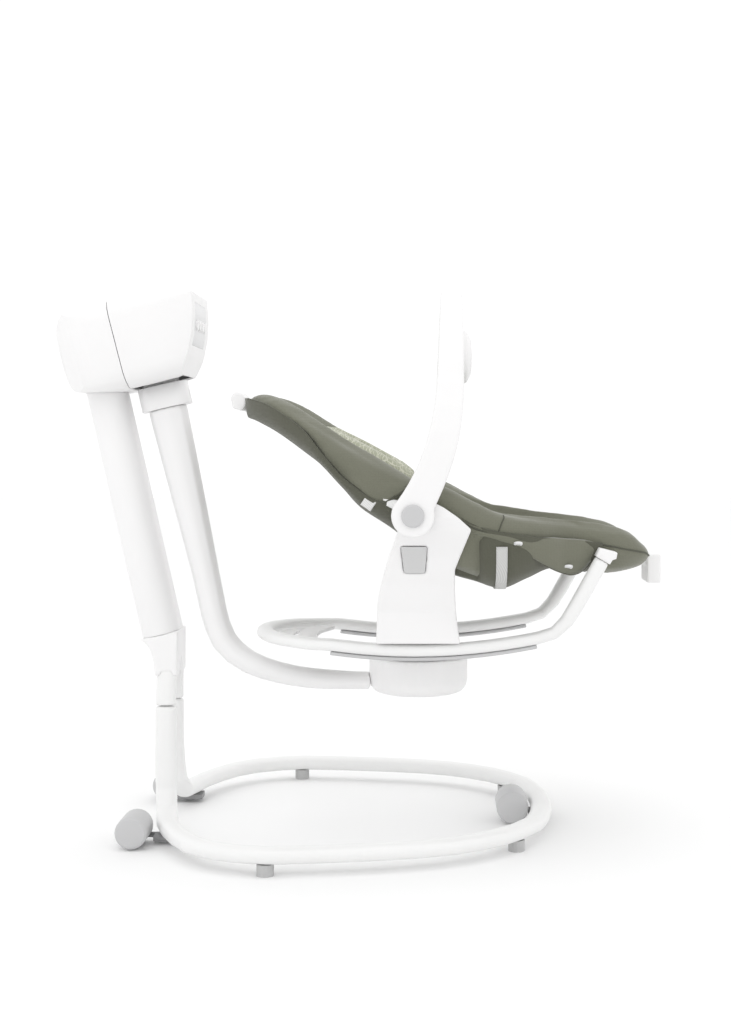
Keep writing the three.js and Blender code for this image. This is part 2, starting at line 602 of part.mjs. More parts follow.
function seatCover() {
  const outline = polygon([[82, 496], [122, 488], [190, 461], [239, 450], [334, 427], [358, 424], [381, 413],
    [404, 391], [404, 380], [396, 373], [372, 369], [346, 358], [299, 352], [264, 362], [222, 341],
    [206, 329], [185, 335], [133, 359], [62, 411], [80, 458]]);
  const hollow = polygon([[60, 430], [142, 373], [190, 351], [208, 346], [262, 386], [335, 402], [380, 396],
    [384, 600], [60, 600]]);
  const plan = planOutline([[60, SEAT_HALF], [190, SEAT_HALF - 4], [239, 148], [290, 106], [345, 103],
    [384, 90], [404, 60]]);
  const bed = planOutline([[50, 128], [190, 128], [239, 112], [290, 76], [345, 72], [376, 56]]);
  const slab = fromSide(outline, -200, 200).intersect(fromAbove(plan, 300, 540));
  const room = fromSide(hollow, -200, 200).intersect(fromAbove(bed, 300, 640));
  const whole = slab.intersect(betweenPillars(SEAT_HALF));
  const unit = blockSolid([396, -31, 366], [420, 31, 395]);
  const clamps = sides.map(([, side]) => clampRoom(side));
  addPart("seat_cover", cut(whole, room, hoopRoom(LEG_HOOP, 24), ...knuckleRoom(), unit, ...clamps), OLIVE);
}

function seatFrames() {
  const { x, z } = SEAT_AXIS;
  addPart("leg_hoop", hoop(LEG_HOOP, HOOP_RADIUS, 1.5, 24), WHITE);
  const tube = toSolid(hoop(BACK_HOOP, HOOP_RADIUS, 1.5, 24));
  const knuckles = sides.map(([, side]) => rodSolid([x, side * 157, z], [x, side * 167, z], 14));
  const pins = rodSolid([x, -200, z], [x, 200, z], 6 + GAP);
  const drain = rodSolid([-150, 0, 580], [-150, 0, 598], 2);
  addPart("back_hoop", cut(join(tube, ...knuckles), pins, drain), WHITE);
  for (const [name, side] of sides) {
    addPart(`leg_clamp_${name}`, legClamp(side), WHITE_PLASTIC);
  }
}

const CLAMP_Y = [101, 131];

// The clamp on a rail's raised end, which holds the leg hoop. Its lower face follows the rail's cut end.
function legClamp(side) {
  const outline = polygon([[321, 387.2], [326.5, 398.3], [350, 392.3], [348.5, 384], [343, 382],
    [339.8, 376.3]]);
  const [low, high] = CLAMP_Y.map((y) => y * side).sort((a, b) => a - b);
  return fromSide(outline, low, high);
}

function clampRoom(side) {
  const [low, high] = [CLAMP_Y[0] - GAP, CLAMP_Y[1]].map((y) => y * side).sort((a, b) => a - b);
  return blockSolid([320, low, 375], [351, high, 400]);
}

// The loose cushion in the backrest's bed: thin in the middle, with a bolster down each side.
function insertPad() {
  const bed = [[-66, 547], [-35, 524], [-8, 494], [12, 469], [30, 454], [50, 446], [79, 470]];
  const crest = [[79, 501], [56, 518], [20, 538], [-16, 555], [-44, 566], [-62, 568]];
  const dish = bed.map(([x, z]) => [x + 7, z + 11]);
  const whole = fromSide(polygon([...bed, ...crest]), -130, 130);
  const plan = fromAbove(planOutline([[84, 124], [20, 124], [-30, 116], [-58, 100], [-68, 60]]), 400, 640);
  const room = fromSide(polygon([...dish, [120, 500], [120, 700], [-59, 700]]), -90, 90);
  addPart("insert_pad", whole.intersect(plan).subtract(room), INSERT);
}

// The lever that frees the backrest, on the head end.
const HANDLE = { x: [-182, -161], half: 34, z: [584, 612], travel: 2.5 };

function handleRoom() {
  const [low, high] = HANDLE.x;
  const half = HANDLE.half + GAP;
  const [bottom, top] = HANDLE.z;
  const travel = HANDLE.travel + GAP;
  return blockSolid([low, -half, bottom - travel], [high + travel, half, top]);
}

function reclineLever() {
  const [outer, inner] = HANDLE.x;
  const [low, high] = HANDLE.z;
  const outline = polygon([[outer, high - 8], [outer + 7, high], [inner - 5, high - 2], [inner, high - 10],
    [inner, low + 6], [inner - 5, low], [outer + 3, low + 4]]);
  addPart("recline_lever", fromSide(outline, -HANDLE.half, HANDLE.half), WHITE_PLASTIC);
}

function harnessBuckle() {
  const outline = fromAbove(roundedRectangle(38, 44, 8), 0, 12);
  addPart("harness_buckle", toGeometry(outline).rotateY(0.43).translate(160, 0, 367), GREY_PLASTIC);
}

// The vibration unit clips to the cover's foot end, and has a button on its outer face.
const UNIT = { rear: 404 + GAP, face: 424, half: 30, z: [342, 383] };
const UNIT_BUTTON = { back: 420, half: 8, z: [359, 375], travel: 1.5 };

function vibrationUnit() {
  const { rear, face, half, z: [low, high] } = UNIT;
  const { back, half: reach, z: [bottom, top], travel } = UNIT_BUTTON;
  const [wide, deep] = [reach + GAP, back - travel - GAP];
  const pocket = blockSolid([deep, -wide, bottom - GAP], [face + 10, wide, top + GAP]);
  const body = cut(blockSolid([rear, -half, low], [face, half, high]), pocket);
  const stem = blockSolid([400.5, -22, 370], [rear + 2, 22, 381]);
  addPart("vibration_unit", join(body, stem), WHITE_PLASTIC);
  addPart("vibration_button", block([back, -reach, bottom], [face, reach, top]), GREY_PLASTIC);
}

// ---------- toy bar ----------
function toyBar() {
  const { x, z } = SEAT_AXIS;
  const { inside, outside, top, spring } = TOY_BAR;
  const blade = fromSide(new THREE.Shape()
    .moveTo(55, 462)
    .bezierCurveTo(92, 512, 106, 570, 109, 640)
    .lineTo(114, top)
    .lineTo(143, top)
    .lineTo(143, 620)
    .bezierCurveTo(143, 550, 128, 505, 104, 455), -220, 220, 12);
  const eye = rodSolid([x, -220, z], [x, 220, z], 28, 28);
  const archOutline = (across, crown) => new THREE.Shape()
    .moveTo(across, 400)
    .lineTo(across, spring)
    .absellipse(0, spring, across, crown - spring, 0, Math.PI)
    .lineTo(-across, 400);
  const arch = archOutline(outside, top);
  const inner = archOutline(inside, top - (outside - inside));
  const band = fromFront(arch, 0, 200, 11).subtract(fromFront(inner, -10, 210, 11));
  const pins = rodSolid([x, -220, z], [x, 220, z], 6 + GAP);
  addPart("toy_bar", cut(band.intersect(join(blade, eye)), pins), WHITE_PLASTIC);
}

function toyLight() {
  const profile = [[0, 0], [34, 0], [40, 6], [41, 14], [36, 24], [24, 30], [0, 32]];
  const lamp = turned(profile, 24).rotateZ(-Math.PI / 2).translate(127, 0, 662);
  const neck = blockSolid([127, -12, 690], [139, 12, TOY_BAR.top - 16]);
  addPart("toy_light", join(toSolid(lamp), neck), GREY_PLASTIC);
}

baseLoop();
upperLegs();
mast();
feet();
rollers();
podShells();
podButtons();
drive();
hanger();
swingArm();
hub();
rockerLoop();
gripStrips();
rearPlate();
dockPlate();
pillars();
seatFrames();
backCover();
seatCover();
insertPad();
reclineLever();
harnessBuckle();
vibrationUnit();
toyBar();
toyLight();

export default swing;
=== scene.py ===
"""The looks of a baby swing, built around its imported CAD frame. Metres, +X to the child's feet, +Z up."""

import json
import math

import bmesh
import bpy
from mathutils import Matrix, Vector
from mathutils.bvhtree import BVHTree


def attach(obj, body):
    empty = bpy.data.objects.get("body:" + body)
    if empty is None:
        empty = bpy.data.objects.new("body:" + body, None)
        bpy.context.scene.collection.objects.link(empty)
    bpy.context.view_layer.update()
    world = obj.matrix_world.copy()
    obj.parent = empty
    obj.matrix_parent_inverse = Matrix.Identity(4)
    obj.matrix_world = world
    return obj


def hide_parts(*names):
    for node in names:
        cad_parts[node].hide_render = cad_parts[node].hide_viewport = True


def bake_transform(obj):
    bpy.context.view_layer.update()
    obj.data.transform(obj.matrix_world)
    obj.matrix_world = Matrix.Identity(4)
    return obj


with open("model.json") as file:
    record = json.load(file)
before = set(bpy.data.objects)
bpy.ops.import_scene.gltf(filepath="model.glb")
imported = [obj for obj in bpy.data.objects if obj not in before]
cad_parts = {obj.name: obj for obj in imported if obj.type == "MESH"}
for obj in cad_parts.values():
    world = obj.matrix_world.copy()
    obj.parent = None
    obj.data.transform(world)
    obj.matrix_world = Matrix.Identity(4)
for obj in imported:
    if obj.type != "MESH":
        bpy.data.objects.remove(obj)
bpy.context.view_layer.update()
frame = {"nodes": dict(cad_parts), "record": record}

MM = 0.001


# ---------- materials ----------
def new_material(name):
    material = bpy.data.materials.new(name)
    material.use_nodes = True
    return material, material.node_tree.nodes, material.node_tree.links


def shader_of(nodes):
    return nodes["Principled BSDF"]


def object_place(nodes):
    return nodes.new("ShaderNodeTexCoord").outputs["Object"]


def noise(nodes, links, place, scale, detail=3.0):
    texture = nodes.new("ShaderNodeTexNoise")
    texture.inputs["Scale"].default_value = scale
    texture.inputs["Detail"].default_value = detail
    links.new(place, texture.inputs["Vector"])
    return texture.outputs["Fac"]


def spread(nodes, links, value, low, high):
    """Maps a 0 to 1 value onto low to high."""
    mapping = nodes.new("ShaderNodeMapRange")
    mapping.inputs["To Min"].default_value = low
    mapping.inputs["To Max"].default_value = high
    links.new(value, mapping.inputs["Value"])
    return mapping.outputs["Result"]


def two_colours(nodes, links, value, dark, light):
    mix = nodes.new("ShaderNodeMix")
    mix.data_type = "RGBA"
    mix.inputs["A"].default_value = (*dark, 1)
    mix.inputs["B"].default_value = (*light, 1)
    links.new(value, mix.inputs["Factor"])
    return mix.outputs["Result"]


def maths(nodes, links, operation, first, second):
    node = nodes.new("ShaderNodeMath")
    node.operation = operation
    for socket, value in zip(node.inputs, (first, second)):
        if isinstance(value, (int, float)):
            socket.default_value = value
        else:
            links.new(value, socket)
    return node.outputs["Value"]


def bump(nodes, links, shader, height, distance, strength=1.0):
    node = nodes.new("ShaderNodeBump")
    node.inputs["Distance"].default_value = distance
    node.inputs["Strength"].default_value = strength
    links.new(height, node.inputs["Height"])
    links.new(node.outputs["Normal"], shader.inputs["Normal"])


def moulded(name, colour, roughness, grain=900, depth=0.00003, coat=0.0, metallic=0.0):
    """Moulded plastic or painted tube: a fine grain, slow colour drift and uneven gloss."""
    material, nodes, links = new_material(name)
    shader = shader_of(nodes)
    place = object_place(nodes)
    drift = noise(nodes, links, place, 9, 2)
    dark = [channel * 0.965 for channel in colour]
    light = [min(1, channel * 1.02) for channel in colour]
    links.new(two_colours(nodes, links, drift, dark, light), shader.inputs["Base Color"])
    smears = noise(nodes, links, place, 38, 4)
    links.new(spread(nodes, links, smears, roughness - 0.07, roughness + 0.09), shader.inputs["Roughness"])
    shader.inputs["Metallic"].default_value = metallic
    shader.inputs["Coat Weight"].default_value = coat
    shader.inputs["Coat Roughness"].default_value = 0.25
    bump(nodes, links, shader, noise(nodes, links, place, grain, 2), depth)
    return material


def weave_height(nodes, links, place, pitch):
    """A plain weave from two crossed ribs, with slubs."""
    ribs = []
    for direction in ("X", "Z"):
        wave = nodes.new("ShaderNodeTexWave")
        wave.bands_direction = direction
        wave.inputs["Scale"].default_value = 1 / (math.pi * pitch) / 2
        wave.inputs["Distortion"].default_value = 0.6
        wave.inputs["Detail Scale"].default_value = 2.0
        links.new(place, wave.inputs["Vector"])
        ribs.append(wave.outputs["Fac"])
    woven = maths(nodes, links, "MULTIPLY", *ribs)
    slub = noise(nodes, links, place, 420, 4)
    return maths(nodes, links, "ADD", woven, maths(nodes, links, "MULTIPLY", slub, 0.8))


def fabric(name, dark, light, pitch=0.0011, sheen=0.35):
    """Woven cloth: the weave in height and colour, broad worn patches, soft sheen."""
    material, nodes, links = new_material(name)
    shader = shader_of(nodes)
    place = object_place(nodes)
    height = weave_height(nodes, links, place, pitch)
    patches = noise(nodes, links, place, 14, 5)
    threads = noise(nodes, links, place, 700, 2)
    tone = maths(nodes, links, "ADD", maths(nodes, links, "MULTIPLY", patches, 0.55),
                 maths(nodes, links, "MULTIPLY", threads, 0.5))
    links.new(two_colours(nodes, links, tone, dark, light), shader.inputs["Base Color"])
    links.new(spread(nodes, links, threads, 0.78, 0.98), shader.inputs["Roughness"])
    shader.inputs["Sheen Weight"].default_value = sheen
    shader.inputs["Sheen Roughness"].default_value = 0.5
    shader.inputs["Specular IOR Level"].default_value = 0.25
    bump(nodes, links, shader, height, 0.00035, 0.55)
    return material


def leafy_fabric(name, ground, leaf, line):
    """Knitted cloth printed with soft leaf shapes and their veins."""
    material, nodes, links = new_material(name)
    shader = shader_of(nodes)
    place = object_place(nodes)
    warp = nodes.new("ShaderNodeTexNoise")
    warp.inputs["Scale"].default_value = 30
    links.new(place, warp.inputs["Vector"])
    bent = nodes.new("ShaderNodeMix")
    bent.data_type = "VECTOR"
    bent.inputs["Factor"].default_value = 0.02
    links.new(place, bent.inputs["A"])
    links.new(warp.outputs["Color"], bent.inputs["B"])
    cells = nodes.new("ShaderNodeTexVoronoi")
    cells.feature = "DISTANCE_TO_EDGE"
    cells.inputs["Scale"].default_value = 55
    links.new(bent.outputs["Result"], cells.inputs["Vector"])
    outline = maths(nodes, links, "LESS_THAN", cells.outputs["Distance"], 0.03)
    veins = nodes.new("ShaderNodeTexWave")
    veins.inputs["Scale"].default_value = 80
    veins.inputs["Distortion"].default_value = 9
    veins.inputs["Detail"].default_value = 1
    links.new(bent.outputs["Result"], veins.inputs["Vector"])
    vein = maths(nodes, links, "GREATER_THAN", veins.outputs["Fac"], 0.93)
    print_lines = maths(nodes, links, "MAXIMUM", outline, vein)
    blotch = noise(nodes, links, place, 26, 3)
    fill = two_colours(nodes, links, blotch, ground, leaf)
    mix = nodes.new("ShaderNodeMix")
    mix.data_type = "RGBA"
    mix.inputs["B"].default_value = (*line, 1)
    links.new(print_lines, mix.inputs["Factor"])
    links.new(fill, mix.inputs["A"])
    links.new(mix.outputs["Result"], shader.inputs["Base Color"])
    shader.inputs["Roughness"].default_value = 0.9
    shader.inputs["Sheen Weight"].default_value = 0.3
    bump(nodes, links, shader, weave_height(nodes, links, place, 0.0009), 0.0003, 0.5)
    return material


def webbing(name, colour):
    """Flat woven tape: ribs across it and a fine diagonal twill."""
    material, nodes, links = new_material(name)
    shader = shader_of(nodes)
    place = object_place(nodes)
    ribs = nodes.new("ShaderNodeTexWave")
    ribs.bands_direction = "DIAGONAL"
    ribs.inputs["Scale"].default_value = 190
    links.new(place, ribs.inputs["Vector"])
    dark = [channel * 0.8 for channel in colour]
    links.new(two_colours(nodes, links, ribs.outputs["Fac"], dark, colour), shader.inputs["Base Color"])
    shader.inputs["Roughness"].default_value = 0.85
    bump(nodes, links, shader, ribs.outputs["Fac"], 0.0003, 0.6)
    return material


def brushed(name, colour, roughness):
    return moulded(name, colour, roughness, grain=1500, metallic=1.0)


LOOKS = {
    "white_paint": moulded("white_powder_coat", (0.86, 0.86, 0.855), 0.36, grain=1400, coat=0.25),
    "white_plastic": moulded("white_moulded_plastic", (0.875, 0.87, 0.87), 0.42),
    "grey_plastic": moulded("light_grey_plastic", (0.56, 0.56, 0.565), 0.5),
    "dark_plastic": moulded("dark_grey_plastic", (0.2, 0.205, 0.21), 0.55),
    "rubber": moulded("grey_rubber", (0.5, 0.5, 0.5), 0.75, grain=500, depth=0.0001),
    "steel": brushed("drive_steel", (0.6, 0.6, 0.62), 0.35),
    "copper": brushed("coil_wire", (0.7, 0.33, 0.18), 0.4),
    "board": moulded("circuit_board_green", (0.05, 0.2, 0.1), 0.5),
}
OLIVE = fabric("olive_weave", (0.115, 0.118, 0.083), (0.215, 0.217, 0.17))
# The pads' olive cloth made darker for the sling: painted shade for the underside of the seat.
OLIVE_PAINTED_SHADE = fabric("olive_sling_weave_painted_shade", (0.075, 0.077, 0.055), (0.125, 0.126, 0.098), sheen=0.2)
PIPING = fabric("olive_piping", (0.06, 0.062, 0.045), (0.11, 0.112, 0.085), pitch=0.0008, sheen=0.2)
INSERT = leafy_fabric("leaf_print", (0.3, 0.315, 0.22), (0.42, 0.43, 0.33), (0.56, 0.56, 0.46))
TAPE = webbing("grey_tape", (0.62, 0.62, 0.61))
LABEL = webbing("blank_label", (0.8, 0.8, 0.79))
LATCH = moulded("latch_grey", (0.6, 0.6, 0.6), 0.45)
BRACKET = moulded("mid_grey_plastic", (0.3, 0.3, 0.305), 0.5)
PALE = moulded("pale_grey_plastic", (0.78, 0.78, 0.785), 0.45)
OTHER_LOOKS = {"toy_light": LOOKS["white_plastic"], "control_panel": PALE, "vibration_button": PALE}
OTHER_LOOKS |= {f"roller_bracket_{place}": BRACKET for place in ("left", "right", "front")}
OTHER_LOOKS |= {f"pillar_latch_{side}": LATCH for side in ("left", "right")}


def dress_nodes():
    """Gives every CAD node the look of its record slot, or a lighter or darker one of the same kind."""
    for part in frame["record"]["subparts"]:
        node = frame["nodes"][part["node"]]
        look = OTHER_LOOKS.get(part["node"]) or LOOKS.get(part["material_slot"], OLIVE)
        node.data.materials.clear()
        node.data.materials.append(look)


# ---------- mesh helpers ----------
def add_object(name, mesh, material):
    piece = bpy.data.objects.new(name, mesh)
    bpy.context.scene.collection.objects.link(piece)
    mesh.materials.clear()
    mesh.materials.append(material)
    return piece


def apply_modifiers(piece):
    graph = bpy.context.evaluated_depsgraph_get()
    finished = bpy.data.meshes.new_from_object(piece.evaluated_get(graph), depsgraph=graph)
    piece.modifiers.clear()
    old, piece.data = piece.data, finished
    bpy.data.meshes.remove(old)


def smooth_shade(piece, degrees=180):
    piece.data.shade_smooth()
    if degrees < 180:
        piece.data.set_sharp_from_angle(angle=math.radians(degrees))


def settle(piece, body):
    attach(piece, body)


def copy_of(node):
    source = frame["nodes"][node]
    return add_object(f"{node}_form", source.data.copy(), source.data.materials[0])


def fill_tube(piece, bore):
    """Deletes a hollow tube's inside and fills its ends, so that it can be remeshed as one solid."""
    work = bmesh.new()
    work.from_mesh(piece.data)
    bmesh.ops.remove_doubles(work, verts=work.verts, dist=1e-5)
    tree = BVHTree.FromBMesh(work)
    inner = []
    for face in work.faces:
        start = face.calc_center_median() + face.normal * 0.0001
        hit = tree.ray_cast(start, face.normal, bore)
        if hit[0] is not None:
            inner.append(face)
    bmesh.ops.delete(work, geom=inner, context="FACES")
    bmesh.ops.holes_fill(work, edges=[edge for edge in work.edges if edge.is_boundary], sides=0)
    work.to_mesh(piece.data)
    work.free()


def refined(node, voxel, rounds, bore=0.0, swell=0.0):
    """A smooth version of a CAD node: remeshed finely, relaxed so that facets become curves, then
    moved out by `swell`, which makes up for what the relaxing took off."""
    piece = copy_of(node)
    if bore:
        fill_tube(piece, bore)
    remesh = piece.modifiers.new("remesh", "REMESH")
    remesh.mode = "VOXEL"
    remesh.voxel_size = voxel
    rounding = piece.modifiers.new("relax", "SMOOTH")
    rounding.iterations = rounds
    rounding.factor = 0.5
    apply_modifiers(piece)
    if swell:
        for vertex, normal in zip(piece.data.vertices, [v.normal.copy() for v in piece.data.vertices]):
            vertex.co += normal * swell
    smooth_shade(piece)
    finish_copy(piece, node)
    return piece


def edged(node, width, degrees=35):
    """A version of a CAD node with small rounded edges, smooth across its facets."""
    piece = copy_of(node)
    weld = piece.modifiers.new("weld", "WELD")
    weld.merge_threshold = 0.00002
    bevel = piece.modifiers.new("bevel", "BEVEL")
    bevel.width = width
    bevel.segments = 2
    bevel.limit_method = "ANGLE"
    bevel.angle_limit = math.radians(degrees)
    bevel.harden_normals = False
    apply_modifiers(piece)
    smooth_shade(piece, degrees)
    finish_copy(piece, node)
    return piece


def finish_copy(piece, node):
    body = next(b for b, members in frame["record"]["behaviour"]["bodies"].items() if node in members)
    settle(piece, body)
    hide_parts(node)


def catmull(points, count):
    """count points spread along a smooth curve through the given ones."""
    points = [Vector(point) for point in points]
    ends = [2 * points[0] - points[1], *points, 2 * points[-1] - points[-2]]
    spans = len(points) - 1
    curve = []
    for i in range(count):
        place = i * spans / (count - 1)
        k = min(int(place), spans - 1)
        t = place - k
        a, b, c, d = ends[k:k + 4]
        curve.append(0.5 * (2 * b + (c - a) * t + (2 * a - 5 * b + 4 * c - d) * t * t
                            + (3 * b - a - 3 * c + d) * t ** 3))
    return curve


def loft(name, rings, material, closed=True, caps=True):
    """A skin through rings of equally many points."""
    work = bmesh.new()
    rows = [[work.verts.new(point) for point in ring] for ring in rings]
    count = len(rows[0])
    for low, high in zip(rows, rows[1:]):
        for i in range(count if closed else count - 1):
            j = (i + 1) % count
            work.faces.new((low[i], low[j], high[j], high[i]))
    if caps:
        work.faces.new(list(reversed(rows[0])))
        work.faces.new(rows[-1])
    bmesh.ops.recalc_face_normals(work, faces=work.faces)
    mesh = bpy.data.meshes.new(name)
    work.to_mesh(mesh)
    work.free()
    return add_object(name, mesh, material)


def cord_along(name, points, radius, material, count=60):
    """A round seam, piping or stitch line along a smooth curve."""
    line = bpy.data.curves.new(name, "CURVE")
    line.dimensions = "3D"
    line.bevel_depth = radius
    line.bevel_resolution = 2
    line.use_fill_caps = True
    spline = line.splines.new("POLY")
    smooth = catmull(points, count)
    spline.points.add(len(smooth) - 1)
    for point, place in zip(spline.points, smooth):
        point.co = (*place, 1)
    curve = bpy.data.objects.new(name, line)
    bpy.context.scene.collection.objects.link(curve)
    graph = bpy.context.evaluated_depsgraph_get()
    mesh = bpy.data.meshes.new_from_object(curve.evaluated_get(graph), depsgraph=graph)
    bpy.data.objects.remove(curve)
    piece = add_object(name, mesh, material)
    smooth_shade(piece)
    return piece


PUFF_FRAMES = 20


def inflate(piece, voxel, cap, pressure=4.0):
    """Puffs a closed form as stuffed cloth, moving no point further than cap."""
    remesh = piece.modifiers.new("remesh", "REMESH")
    remesh.mode = "VOXEL"
    remesh.voxel_size = voxel
    apply_modifiers(piece)
    rest = [vertex.co.copy() for vertex in piece.data.vertices]
    cloth = piece.modifiers.new("cloth", "CLOTH")
    cloth.settings.quality = 5
    cloth.settings.use_pressure = True
    cloth.settings.uniform_pressure_force = pressure
    cloth.settings.effector_weights.gravity = 0
    cloth.point_cache.frame_start = 1
    cloth.point_cache.frame_end = PUFF_FRAMES
    scene = bpy.context.scene
    for step in range(1, PUFF_FRAMES + 1):
        scene.frame_set(step)
    apply_modifiers(piece)
    scene.frame_set(1)
    for vertex, start in zip(piece.data.vertices, rest):
        move = vertex.co - start
        if move.length > cap:
            vertex.co = start + move * (cap / move.length)


def relax(piece, rounds, factor=0.5):
    smooth = piece.modifiers.new("relax", "SMOOTH")
    smooth.iterations = rounds
    smooth.factor = factor
    apply_modifiers(piece)


def finish_soft(piece, body):
    subdivide = piece.modifiers.new("subdivide", "SUBSURF")
    subdivide.levels = subdivide.render_levels = 1
    apply_modifiers(piece)
    smooth_shade(piece)
    settle(piece, body)


# ---------- the seat's lines seen from the side: (x, z) in millimetres at each station ----------
# The back's stations run from the head end to the hips, the seat's from the hips to the foot end.
BACK = {
    "crest": [(-153, 606), (-137, 609), (-104, 599), (-60, 571), (-12, 541), (20, 524),
              (52, 508), (84, 493)],
    "floor": [(-149, 596), (-130, 593), (-98, 568), (-58, 541), (-28, 514), (-4, 489),
              (18, 462), (60, 441)],
    "seam": [(-158, 600), (-147, 598), (-116, 587), (-71, 556), (-38, 517), (-9, 487),
             (34, 461), (70, 481)],
    "under": [(-156, 575), (-140, 569), (-108, 552), (-68, 524), (-44, 506), (-18, 478),
              (6, 451), (48, 422)],
    "half": [54, 86, 124, 149, 162, 166, 167, 166],
}
SEAT = {
    "crest": [(104, 492), (128, 484), (160, 468), (199, 449), (240, 441), (290, 432),
              (333, 427), (374, 419), (396, 404), (406, 394)],
    "floor": [(92, 418), (122, 390), (152, 372), (196, 356), (236, 372), (280, 393),
              (330, 405), (366, 402), (390, 396), (401, 389)],
    "seam": [(110, 458), (132, 442), (158, 427), (190, 418), (236, 412), (286, 407),
             (332, 401), (372, 393), (401, 388), (409, 383)],
    "under": [(84, 392), (120, 364), (160, 351), (196, 341), (230, 354), (266, 367),
              (312, 361), (352, 358), (392, 366), (403, 371)],
    "half": [167, 167, 166, 162, 149, 118, 109, 98, 82, 66],
}
SLIP = 0.007  # the pads stop short of the sling by this much


def place_of(lines, key, i):
    x, z = lines[key][i]
    return Vector((x * MM, 0, z * MM))


def across(point, y):
    return Vector((point.x, y, point.z))


def pad_ring(lines, i):
    """One cross-section of a dished pad: bed, bolster, side panel and underside."""
    floor, crest, seam, under = (place_of(lines, key, i) for key in ("floor", "crest", "seam", "under"))
    width = lines["half"][i] * MM
    under = under + Vector((0, 0, SLIP))
    half = [
        across(floor, 0),
        across(floor, 0.36 * width),
        across(floor.lerp(crest, 0.14), 0.56 * width),
        across(floor.lerp(crest, 0.58), 0.68 * width),
        across(floor.lerp(crest, 0.92), 0.78 * width),
        across(crest, 0.88 * width),
        across(crest.lerp(seam, 0.12), 0.955 * width),
        across(crest.lerp(seam, 0.5), width),
        across(seam, 0.995 * width),
        across(seam.lerp(under, 0.35), 0.975 * width - SLIP / 2),
        across(seam.lerp(under, 0.75), 0.89 * width - SLIP / 2),
        across(under, 0.6 * width),
        across(under, 0),
    ]
    return half + [across(point, -point.y) for point in reversed(half[1:-1])]


# The room between the pillars: their reach along X, half the gap at the height `foot`, its growth per
# metre upwards, the most it gets, and the clearance that the cloth keeps.
PILLARS = {"x": (0.02, 0.165), "foot": 0.35, "half": 0.12, "lean": 0.613, "most": 0.171, "clear": 0.004}


def between_pillars(point):
    """The point moved in from the pillars, which lean in towards the rails below the hinge."""
    rear, front = PILLARS["x"]
    if not rear < point.x < front:
        return point
    gap = PILLARS["half"] + PILLARS["lean"] * (point.z - PILLARS["foot"])
    room = min(PILLARS["most"], gap) - PILLARS["clear"]
    return across(point, max(-room, min(room, point.y)))


def sling_row(lines, i):
    """One crossing of the sling, from under the left seam to under the right one."""
    seam, under = place_of(lines, "seam", i), place_of(lines, "under", i)
    width = lines["half"][i] * MM
    half = [
        across(seam.lerp(under, -0.06), width),
        across(seam.lerp(under, 0.35), 0.985 * width),
        across(seam.lerp(under, 0.6), 0.95 * width),
        across(seam.lerp(under, 0.82), 0.86 * width),
        across(seam.lerp(under, 0.96), 0.68 * width),
        across(under, 0.42 * width),
        across(under, 0),
    ]
    return half + [across(point, -point.y) for point in reversed(half[:-1])]


def smooth_rows(rows, count):
    """Rows of points, respaced smoothly along their length."""
    columns = [catmull([row[j] for row in rows], count) for j in range(len(rows[0]))]
    return [[column[i] for column in columns] for i in range(count)]


def pad(name, lines, body, node):
    rings = smooth_rows([pad_ring(lines, i) for i in range(len(lines["half"]))], 30)
    piece = loft(name, rings, OLIVE)
    inflate(piece, 0.005, 0.006)
    relax(piece, 3)
    finish_soft(piece, body)
    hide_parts(node)
    return piece


def surface_of(piece):
    work = bmesh.new()
    work.from_mesh(piece.data)
    tree = BVHTree.FromBMesh(work)
    work.free()
    return tree


def laid_on(points, tree, lift):
    """The points moved to the nearest place on a surface, and lifted off it."""
    moved = []
    for point in points:
        place, normal, _, _ = tree.find_nearest(point)
        moved.append(place + normal * lift)
    return moved


def seam_line(lines, side):
    points = []
    for i, width in enumerate(lines["half"]):
        points.append(across(place_of(lines, "seam", i), side * width * MM))
    return points


def piping(name, points, piece, body, radius=0.0012):
    path = laid_on(catmull(points, 40), surface_of(piece), radius * 0.3)
    settle(cord_along(name, path, radius, PIPING, 120), body)


def seams(back, seat):
    for name, side in (("left", 1), ("right", -1)):
        piping(f"back_seam_{name}", seam_line(BACK, side), back, "backrest")
        piping(f"seat_seam_{name}", seam_line(SEAT, side), seat, "rocker")
        cross = [across(Vector((x * MM, 0, z * MM)), side * y * MM)
                 for x, y, z in ((199, 146, 450), (199, 158, 444), (194, 163, 433), (188, 163, 419))]
        piping(f"seat_cross_seam_{name}", cross, seat, "rocker", 0.0009)
    for share in (0.3, 0.62):
        crossing = [across(place_of(BACK, "floor", 3).lerp(place_of(BACK, "floor", 6), share), y * MM)
                    for y in (-80, -40, 0, 40, 80)]
        piping(f"back_bed_seam_{round(share * 100)}", crossing, back, "backrest", 0.0008)


def thin_sheet(name, rows, thick, material):
    """An open skin through rows of points, given a thickness."""
    piece = loft(name, rows, material, closed=False, caps=False)
    area = sum(face.area for face in piece.data.polygons)
    solid = piece.modifiers.new("solid", "SOLIDIFY")
    solid.thickness = thick
    solid.offset = 0
    apply_modifiers(piece)
    smooth_shade(piece)
    return piece, area


def sling():
    """The cloth hung under both pads, coloured darker than the pads as painted shade for the underside of
    the seat; it bends where the backrest hinges.
    """
    rows = [sling_row(BACK, i) for i in range(8)] + [sling_row(SEAT, i) for i in range(7)]
    rows = smooth_rows(rows, 90)
    rows = [[between_pillars(point) for point in catmull(row, 60)] for row in rows]
    piece, area = thin_sheet("sling", rows, 0.0014, OLIVE_PAINTED_SHADE)
    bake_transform(piece)
    return piece


# The skirt's upper and lower edges beside the seat: (x, half width, top z, bottom z).
SKIRT = [(112, 165, 455, 450), (152, 165, 428, 421), (186, 162, 419, 409), (212, 155, 416, 399),
         (240, 145, 412, 383), (262, 136, 411, 371), (280, 124, 409, 364), (302, 115, 407, 364),
         (328, 104, 403, 394)]
SNAPS = [(219, 155, 402), (290, 114, 370)]


